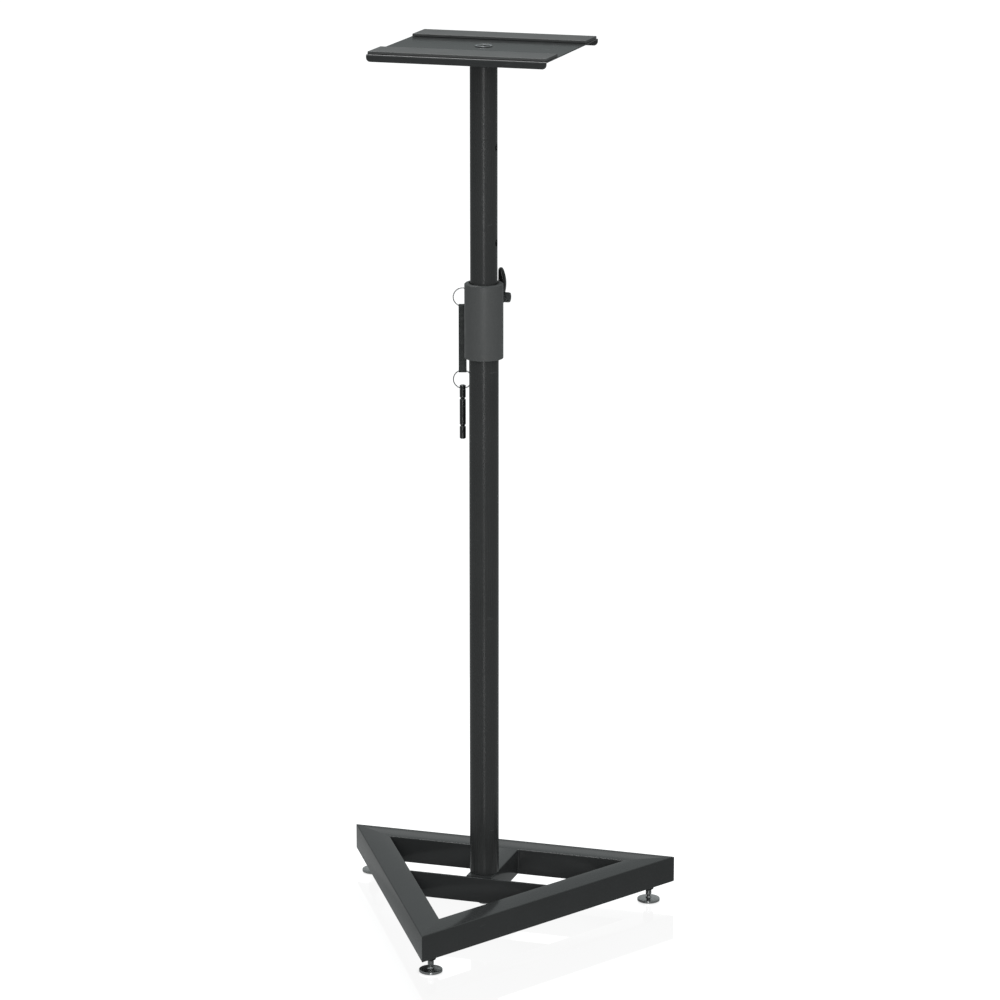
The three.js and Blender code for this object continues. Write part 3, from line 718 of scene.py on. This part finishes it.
BOLT_R = 3.95
BOLT_HEAD = 5.3
BOLT_FLATS = 13
KNURLS = 36
KNURL_DEPTH = 0.34

at_clamp = shift(0, CLAMP_Y, CLAMP_Z)
washer_low, washer_high = box_mm("clamp_washer")
lathed("clamp_washer_disc",
       ring_profile(radius_of("clamp_washer", "z"), M8_HOLE, washer_low.x, washer_high.x, 0.3, 0.1),
       64, at_clamp @ along_x(), "base", "zinc_steel", "clamp_washer")

bolt_low, bolt_high = box_mm("clamp_bolt")
bolt_length = bolt_high.x - bolt_low.x - BOLT_HEAD
shank = object_of("clamp_bolt_screw", turned(rounded([
    (0, -0.5), (BOLT_R, -0.5), (BOLT_R, bolt_length, 0.5), (0, bolt_length)], 3), 40))
head = object_of("head", hex_head(BOLT_FLATS, BOLT_HEAD), smooth=25)
boolean(shank, "UNION", move(head, Matrix.Rotation(math.pi, 4, "X")))
move(shank, at_clamp @ shift(bolt_low.x + BOLT_HEAD, 0) @ along_x())
place(shank, "base", "zinc_steel", "clamp_bolt")

BUSH_R = radius_of("lever_bush", "z")
NECKED = BUSH_R - 0.35
bush_length = clamp_high.x - clamp_low.x
bush_profile = rounded([
    (M8_HOLE, 0), (NECKED, 0, 0.3), (NECKED, 1.2), (BUSH_R, 1.6), (BUSH_R, 5),
    (BUSH_R, bush_length - 1.6), (NECKED, bush_length - 1.2), (NECKED, bush_length, 0.3),
    (3.2, bush_length, 0.3), (2.7, bush_length - 0.7, 0.3), (0, bush_length - 0.7),
    (0, bush_length - 2), (M8_HOLE, bush_length - 2)], 3)
knurl_rows = {i for i, (r, z) in enumerate(bush_profile) if r > BUSH_R - 0.02}


def knurl(angle, index):
    return -KNURL_DEPTH * (0.5 + 0.5 * math.cos(KNURLS * angle)) if index in knurl_rows else 0


bush = object_of("lever_bush_knob", turned(bush_profile, 216, wave=knurl), smooth=50)
move(bush, shift(clamp_low.x, CLAMP_Y, CLAMP_Z) @ along_x())
place(bush, "lever", "bush_steel", "lever_bush")

lever_low, lever_high = box_mm("clamp_lever")
HUB_START = lever_low.x
HUB_WIDTH = 7.0
HUB_END = HUB_START + HUB_WIDTH
HUB_R = CLAMP_Z - lever_low.z
HUB_BORE = BUSH_R + GAP
LEVER_WIDTH = 11.0
LEVER_RISE = lever_high.z - CLAMP_Z
TIP_THICK = 5.0
# How far the arm's two sides are pulled outwards halfway up.
INNER_BOW = 0.8
OUTER_BOW = 10.4
ARM_STEPS = 30
TIP_STEPS = 8
# The power that makes the arm's round section squarer.
SQUARENESS = 0.55


def curve(a, b, c, t):
    """From a to c, pulled towards b."""
    return (1 - t) ** 2 * a + 2 * t * (1 - t) * b + t ** 2 * c


def lever_frames():
    """The arm's sections from the hub to the tip, in the clamp's own frame."""
    middle = HUB_START + HUB_WIDTH / 2
    half = TIP_THICK / 2
    half_width = LEVER_WIDTH / 2
    tip_z = LEVER_RISE - half

    def section(left, right, z):
        past = max(0, z - (LEVER_RISE - half_width))
        wide = math.sqrt(max(0, half_width ** 2 - past ** 2)) / half_width
        return ((left + right) / 2, 0, z), (1, 0, 0), (0, 1, 0), ((right - left) / 2, wide)

    frames = []
    for k in range(ARM_STEPS + 1):
        t = k / ARM_STEPS
        left = curve(HUB_START, HUB_START + INNER_BOW, middle - half, t)
        right = curve(HUB_END, middle + OUTER_BOW, middle + half, t)
        frames.append(section(left, right, curve(0, LEVER_RISE * 0.5, tip_z, t)))
    for k in range(1, TIP_STEPS + 1):
        angle = math.pi / 2 * k / (TIP_STEPS + 0.3)
        reach = half * math.cos(angle)
        frames.append(section(middle - reach, middle + reach, tip_z + half * math.sin(angle)))
    return frames


def squared(value):
    return math.copysign(abs(value) ** SQUARENESS, value)


arm_section = [(squared(math.cos(a)), squared(math.sin(a)) * LEVER_WIDTH / 2)
               for a in (2 * math.pi * k / 40 for k in range(40))]
arm = object_of("clamp_lever_arm", swept(lever_frames(), arm_section), smooth=40)
hub = object_of("hub", turned(ring_profile(HUB_R, HUB_BORE, HUB_START, HUB_END, 0.8, 0.3), 96))
boolean(arm, "DIFFERENCE", move(rod(HUB_BORE, 0, 40, 96), along_x()))
boolean(arm, "UNION", move(hub, along_x()))
place(move(arm, at_clamp), "lever", "lever_plastic", "clamp_lever")


# ------------------------------------------------------------------ lanyard

# The lanyard hangs turned by YAW about the upright.
YAW = math.radians(17.5)
# A ring's two turns of wire: their section, how far each lies off the middle, the gap at the
# wire's ends, and the angle that the crossing takes.
WIRE = (1.36, 0.7)
TURN_OFFSET = 0.37
RING_GAP = math.radians(13)
CROSSING = math.radians(20)
RING_START = math.radians(200)
RING_STEPS = 180
RING_R = radius_of("upper_ring", "z") - 0.75
ring_low, ring_high = box_mm("upper_ring")
HANG = (ring_low + ring_high) / 2


def hanging(z=0):
    """From the lanyard's own frame, X in the rings' plane and Y away from the column."""
    return shift(HANG.x, HANG.y, z) @ Matrix.Rotation(YAW, 4, "Z")


def split_ring(name, body):
    """Two flat turns of wire that cross over once and end beside the crossing."""
    low, high = box_mm(body)
    frames = []
    start = CROSSING + RING_GAP / 2
    end = 4 * math.pi - start + CROSSING
    for k in range(RING_STEPS + 1):
        turn = start + (end - start) * k / RING_STEPS
        t = max(0, min(1, (turn - 2 * math.pi) / CROSSING))
        side = TURN_OFFSET * (2 * t * t * (3 - 2 * t) - 1)
        angle = turn + RING_START
        out = Vector((math.cos(angle), 0, math.sin(angle)))
        taper = min(1, 0.55 + 30 * min(k, RING_STEPS - k) / RING_STEPS)
        frames.append((out * RING_R + Vector((0, side, 0)), out, (0, 1, 0), (taper, taper)))
    ring = object_of(name, swept(frames, box_section(*WIRE, 0.26)), smooth=40)
    place(move(ring, hanging((low.z + high.z) / 2)), body, "ring_wire", body)


split_ring("upper_split_ring", "upper_ring")
split_ring("lower_split_ring", "lower_ring")

LUG_X = RING_R * 0.5
LUG_HALF = 0.8
LUG_ROOT = -13.5
LUG_STEPS = 24
LUG_EYE = 2.2
lug_low, lug_high = box_mm("lanyard_lug")
lug_reach = (lug_high.z - lug_low.z) / 2
lug_z = (lug_low.z + lug_high.z) / 2
outline = [(LUG_ROOT, lug_z - lug_reach)]
for k in range(LUG_STEPS + 1):
    angle = -math.pi / 2 + math.pi * k / LUG_STEPS
    outline.append((lug_reach * math.cos(angle), lug_z + lug_reach * math.sin(angle)))
outline.append((LUG_ROOT, lug_z + lug_reach))
bm = extruded(outline, -LUG_HALF, LUG_HALF, "x")
soften(bm, list(bm.edges), 0.25, 2)
lug = object_of("lanyard_lug_plate", bm)
boolean(lug, "DIFFERENCE", move(rod(LUG_EYE, -3, 3, 40), shift(0, 0, lug_z) @ along_x()))
place(move(lug, hanging() @ shift(LUG_X, 0)), "base", "collar_coat", "lanyard_lug")

# The strip, its eyes' radius, and where its two plies lie together.
PLY = 0.8
STRAP_WIDTH = 10.2
STRAP_EYE = 1.75
FLAT = PLY / 2 + 0.03
NECK = 3.2 * (STRAP_EYE + PLY)
strap_low, strap_high = box_mm("strap")
strap_top = strap_high.z - STRAP_EYE - PLY
strap_bottom = strap_low.z + STRAP_EYE + PLY


def strap_path():
    """The folded strip's middle line, (y, z): round the top eye, down, round the bottom eye, up."""
    r = STRAP_EYE + PLY / 2
    eye = []
    for k in range(19):
        angle = math.radians(-32 + 244 * k / 18)
        eye.append((r * math.cos(angle), strap_top + r * math.sin(angle)))
    start_y, start_z = eye[-1]
    fold = []
    for k in range(1, 11):
        t = k / 10
        s = t * t * (3 - 2 * t)
        fold.append((start_y * (1 - s) - FLAT * s, start_z + (strap_top - NECK - start_z) * t))
    top = [(-y, z) for y, z in reversed(fold)] + eye + fold
    straight = strap_top - strap_bottom - 2 * NECK
    down = [(-FLAT, strap_top - NECK - straight * k / 30) for k in range(1, 30)]
    bottom = [(-y, strap_top + strap_bottom - z) for y, z in top]
    up = [(FLAT, strap_bottom + NECK + straight * k / 30) for k in range(1, 30)]
    return top + down + bottom + up


path = strap_path()
frames = []
for index, (y, z) in enumerate(path):
    before, after = Vector(path[index - 1]), Vector(path[(index + 1) % len(path)])
    tangent = (after - before).normalized()
    frames.append(((0, y, z), (1, 0, 0), (0, tangent.y, -tangent.x), (1, 1)))
strap = object_of("strap_band", swept(frames, box_section(STRAP_WIDTH, PLY - 0.06, 0.28),
                                      closed=True), smooth=50)
place(move(strap, hanging()), "strap", "strap_leather", "strap")

# Rows of stitches across the strap, from each eye, and along its edges.
CROSS_ROWS = (9.0, 13.0)
CROSS_COUNT = 5
CROSS_PITCH = 1.75
CROSS_SIZE = (0.62, 0.22, 0.22)
EDGE_COUNT = 22
EDGE_X = 4.1
EDGE_SIZE = (0.22, 0.22, 0.95)


def stitch(bm, x, side, z, size):
    """One stitch of three half lengths, on the front or the back of the strap."""
    where = Matrix.Translation(Vector((x, side * (PLY + 0.02), z)) * MM)
    bmesh.ops.create_uvsphere(bm, u_segments=10, v_segments=6, radius=MM,
                              matrix=where @ Matrix.Diagonal(Vector((*size, 1))))


bm = bmesh.new()
for eye, direction in ((strap_top, -1), (strap_bottom, 1)):
    for row in CROSS_ROWS:
        for side in (-1, 1):
            for k in range(CROSS_COUNT):
                x = (k - (CROSS_COUNT - 1) / 2) * CROSS_PITCH
                stitch(bm, x, side, eye + direction * row, CROSS_SIZE)
edge_start = strap_bottom + CROSS_ROWS[-1]
edge_span = strap_top - CROSS_ROWS[-1] - edge_start
for side in (-1, 1):
    for edge in (-1, 1):
        for k in range(EDGE_COUNT):
            z = edge_start + edge_span * (k + 0.5) / EDGE_COUNT
            stitch(bm, edge * EDGE_X, side, z, EDGE_SIZE)
stitches = object_of("strap_stitches", bm, smooth=60)
place(move(stitches, hanging()), "strap", "strap_thread")

# The pin, its grooves' distance from its top, and the hole that its ring hangs in.
PIN_R = 4.0
PIN_WAIST = PIN_R - 1.2
PIN_GROOVES = (53.8, 17.9)
PIN_EYE = 1.8
PIN_EYE_DROP = 4.7
pin_low, pin_high = box_mm("locking_pin")
corners = [(0, pin_low.z), (PIN_R - 0.9, pin_low.z, 0.5), (PIN_R, pin_low.z + 1.0, 0.6)]
for depth in PIN_GROOVES:
    z = pin_high.z - depth
    corners += [(PIN_R, z - 1.5, 0.25), (PIN_WAIST, z - 0.25, 0.2), (PIN_WAIST, z + 0.35, 0.2),
                (PIN_R, z + 2.0, 0.4)]
corners += [(PIN_R, pin_high.z - 0.9, 0.7), (PIN_R - 1.1, pin_high.z - 0.15, 1.0),
            (0, pin_high.z)]
pin = object_of("locking_pin_shaft", turned(rounded(corners, 4)))
eye_tool = move(rod(PIN_EYE, -8, 8, 36), shift(0, 0, pin_high.z - PIN_EYE_DROP) @ along_x())
boolean(pin, "DIFFERENCE", eye_tool)
place(move(pin, hanging()), "locking_pin", "pin_steel", "locking_pin")


# ------------------------------------------------------------------ column, moving part

UPPER_WALL = 1.5
# Holes through the tube, down from its top, with a broken edge.
PIN_HOLES = 5
HOLE_PITCH = 122
FIRST_HOLE = 120.5
HOLE_R = 4.5
HOLE_MOUTH = 4.85
M10_HOLE = 5.3
M10 = 5
# The top plug's disc, which the platform rests on.
DISC = 5

tube_low, tube_high = box_mm("upper_tube")
tube = object_of("upper_tube_body", turned(
    ring_profile(UPPER_R, UPPER_R - UPPER_WALL, tube_low.z, tube_high.z, 0.35, 0.2), 128))
drills = []
for index in range(PIN_HOLES):
    drill = object_of("drill", turned([
        (HOLE_MOUTH, -25), (HOLE_MOUTH, -UPPER_R + 0.35), (HOLE_R, -UPPER_R + 0.8),
        (HOLE_R, UPPER_R - 0.8), (HOLE_MOUTH, UPPER_R - 0.35), (HOLE_MOUTH, 25), (0, 25),
        (0, -25)], 40))
    z = tube_high.z - FIRST_HOLE - HOLE_PITCH * index
    drills.append(move(drill, shift(0, 0, z) @ along_x()))
boolean(tube, "DIFFERENCE", *drills)
place(move(tube, axis), "upper_column", "tube_coat", "upper_tube")

plug_low, plug_high = box_mm("top_plug")
plug_r, disc_r = UPPER_R - 1.8, radius_of("top_plug")
lathed("top_plug_disc", rounded([
    (M10_HOLE, plug_high.z), (M10_HOLE, plug_low.z), (plug_r, plug_low.z, 1.0),
    (plug_r, plug_high.z - DISC), (disc_r, plug_high.z - DISC, 0.9),
    (disc_r, plug_high.z, 0.6)], 4), 96, axis, "upper_column", "frame_coat", "top_plug")

WELD_STEPS = 160
WELD_RIPPLES = 40
WELD_DEPTH = 0.15
frames = []
for k in range(WELD_STEPS):
    angle = 2 * math.pi * k / WELD_STEPS
    out = Vector((math.cos(angle), math.sin(angle), 0))
    swell = rippled(WELD_DEPTH, angle * WELD_RIPPLES)
    frames.append((out * (UPPER_R + 0.3) + Vector((0, 0, tube_high.z - 0.6)), out, (0, 0, 1),
                   (swell, swell)))
weld = object_of("weld_top", swept(frames, round_section(1.5, 14), closed=True), smooth=60)
place(move(weld, axis), "upper_column", "frame_coat")

PLATE = 1.5
BEND = 2.5
INNER_BEND = BEND - PLATE
CUT_EDGE = 0.35
EDGE_CORNER = 5.5
plate_low, plate_high = box_mm("platform_plate")
half_width = plate_high.x
half_depth = (plate_high.y - plate_low.y) / 2
inner_depth = half_depth - PLATE
top, bottom = plate_high.z, plate_low.z
plate = object_of("platform_sheet", extruded(rounded([
    (-half_depth, bottom, CUT_EDGE), (-half_depth, top, BEND), (half_depth, top, BEND),
    (half_depth, bottom, CUT_EDGE), (inner_depth, bottom, CUT_EDGE),
    (inner_depth, top - PLATE, INNER_BEND), (-inner_depth, top - PLATE, INNER_BEND),
    (-inner_depth, bottom, CUT_EDGE)], 6), -half_width, half_width, "x"))
corner_tool = object_of("rounding", extruded(rounded([
    (-half_width, bottom - 0.01, EDGE_CORNER), (half_width, bottom - 0.01, EDGE_CORNER),
    (half_width, top + 3), (-half_width, top + 3)], 8), -half_depth - 3, half_depth + 3, "y"))
boolean(plate, "INTERSECT", corner_tool)
place(move(plate, axis), "upper_column", "frame_coat", "platform_plate")

for node in ("front_pad", "back_pad"):
    low, high = box_mm(node)
    section = rounded([(low.y, low.z, 0.2), (high.y, low.z, 0.2), (high.y, high.z, 0.4),
                       (low.y, high.z, 0.4)], 4)
    bm = extruded(section, low.x, high.x, "x")
    ends = [e for e in bm.edges if abs(e.verts[0].co.x - e.verts[1].co.x) < 1e-9
            and min(v.co.z for v in e.verts) > (high.z - 1.0) * MM]
    soften(bm, ends, 0.35)
    place(object_of(f"{node}_strip", bm), "upper_column", "pad_rubber", node)

washer_low, washer_high = box_mm("platform_washer")
rim = radius_of("platform_washer")
bottom, top = washer_low.z, washer_high.z
seat = bottom + 0.25
lathed("platform_cup_washer", rounded([
    (M10_HOLE, bottom), (rim, bottom, 0.1), (rim, top, 0.3), (rim - 0.9, top, 0.2),
    (rim - 1.3, seat, 0.3), (M10_HOLE, seat)], 4), 96, axis, "upper_column", "zinc_steel",
    "platform_washer")

SOCKET_DEPTH = 3
tip = box_mm("platform_bolt")[0].z
head_r = radius_of("platform_bolt")
head_seat, head_top = seat + 0.1, top - 0.15
lathed("platform_bolt_screw", rounded([
    (0, tip), (M10, tip, 0.6), (M10, head_seat), (head_r, head_seat, 0.1),
    (head_r, head_top - 0.3), (head_r - 0.5, head_top, 0.2), (3.5, head_top, 0.2),
    (3.2, head_top - SOCKET_DEPTH), (0, head_top - SOCKET_DEPTH)], 4), 72, axis,
    "upper_column", "black_oxide", "platform_bolt")

MAIN_HEAD = 6.4
MAIN_FLATS = 16
bolt_low, bolt_high = box_mm("base_bolt")
under_head = bolt_low.z + MAIN_HEAD
screw = object_of("base_bolt_screw", turned(rounded([
    (0, under_head - 0.5), (M10, under_head - 0.5), (M10, bolt_high.z, 0.6),
    (0, bolt_high.z)], 3), 48))
head = object_of("head", hex_head(MAIN_FLATS, MAIN_HEAD), smooth=25)
boolean(screw, "UNION", move(head, shift(0, 0, under_head) @ Matrix.Rotation(math.pi, 4, "X")))
place(move(screw, axis), "base", "zinc_steel", "base_bolt")
washer_low, washer_high = box_mm("base_washer")
lathed("base_washer_disc",
       ring_profile(radius_of("base_washer"), M10_HOLE, washer_low.z, washer_high.z, 0.3, 0.1),
       64, axis, "base", "zinc_steel", "base_washer")


# ------------------------------------------------------------------ CAD nodes that stay

STAYING = {"stub_spacer": "zinc_steel", "base_plug": "zinc_steel", "guide_bush": "nylon"}
for node, look in STAYING.items():
    obj = nodes[node]
    if not obj.material_slots:
        obj.data.materials.append(looks[look])
    for material_slot in obj.material_slots:
        material_slot.material = looks[look]


# ------------------------------------------------------------------ stage and light

# The floor looks white and has a painted contact shadow: its glow is darker where a foot stands on
# it, within the reach below. It is dim to all but the camera.
PAINTED_SHADOW_REACH = 5 * MM
FLOOR_HALF = 12

bm = bmesh.new()
bmesh.ops.create_grid(bm, x_segments=1, y_segments=1, size=FLOOR_HALF)
floor = object_of("floor", bm)
floor_look, tree, shader = new_material("floor_look", Roughness=0.04, Metallic=1.0,
                                        Base_Color=(0.42, 0.42, 0.42, 1), Emission_Strength=1)
# Painted shadow: ambient occlusion darkens the white that the camera sees near anything standing on
# the floor.
painted_contact_shadow = tree.nodes.new("ShaderNodeAmbientOcclusion")
painted_contact_shadow.inputs["Distance"].default_value = PAINTED_SHADOW_REACH
pale_with_painted_shadow = ramp(tree, painted_contact_shadow.outputs["AO"], 0.72, 0.93, 0.3, 0.95)
ray = tree.nodes.new("ShaderNodeLightPath")
tree.links.new(mix(tree, ray.outputs["Is Camera Ray"], (0.11, 0.11, 0.11), pale_with_painted_shadow),
               shader.inputs["Emission Color"])
floor.data.materials.append(floor_look)

# White behind the object, and a dim sky in its reflections.
world = bpy.data.worlds.new("studio")
scene.world = world
world.use_nodes = True
tree = world.node_tree
direction = tree.nodes.new("ShaderNodeTexCoord")
split = tree.nodes.new("ShaderNodeSeparateXYZ")
tree.links.new(direction.outputs["Generated"], split.inputs["Vector"])
sky = ramp(tree, split.outputs["Z"], (0.16, 0.175, 0.175), (0.55, 0.59, 0.59), 0.1, 0.6)
ray = tree.nodes.new("ShaderNodeLightPath")
tree.links.new(mix(tree, ray.outputs["Is Camera Ray"], sky, (1.0, 1.0, 1.0)),
               tree.nodes["Background"].inputs["Color"])


def area_light(name, location, target, size, power, height=None, mirrored=True):
    data = bpy.data.lights.new(name, "AREA")
    data.energy = power
    data.shape = "RECTANGLE"
    data.size = size
    data.size_y = height or size
    light = bpy.data.objects.new(name, data)
    light.location = location
    aim = Vector(target) - Vector(location)
    light.rotation_euler = aim.to_track_quat("-Z", "Y").to_euler()
    light.visible_camera = False
    light.visible_glossy = mirrored
    scene.collection.objects.link(light)


# The front, left and right lights fill in without a mirror image.
area_light("strip", (0.95, -3.0, 1.15), (0, 0, 0.85), 0.3, 12, height=1.9)
area_light("front", (0.8, -3.0, 1.3), (0, 0, 0.8), 1.2, 30, mirrored=False)
area_light("left", (-2.6, -1.6, 2.6), (0, 0, 0.7), 1.6, 8, mirrored=False)
area_light("right", (2.6, -2.2, 1.8), (0, 0, 0.4), 1.6, 24, mirrored=False)
area_light("top", (-0.75, 0.3, 3.8), (0, 0, 0), 1.5, 66)
area_light("back", (-0.6, 1.75, 0.42), (0, 0, 0.1), 2.2, 0.6, height=0.4)
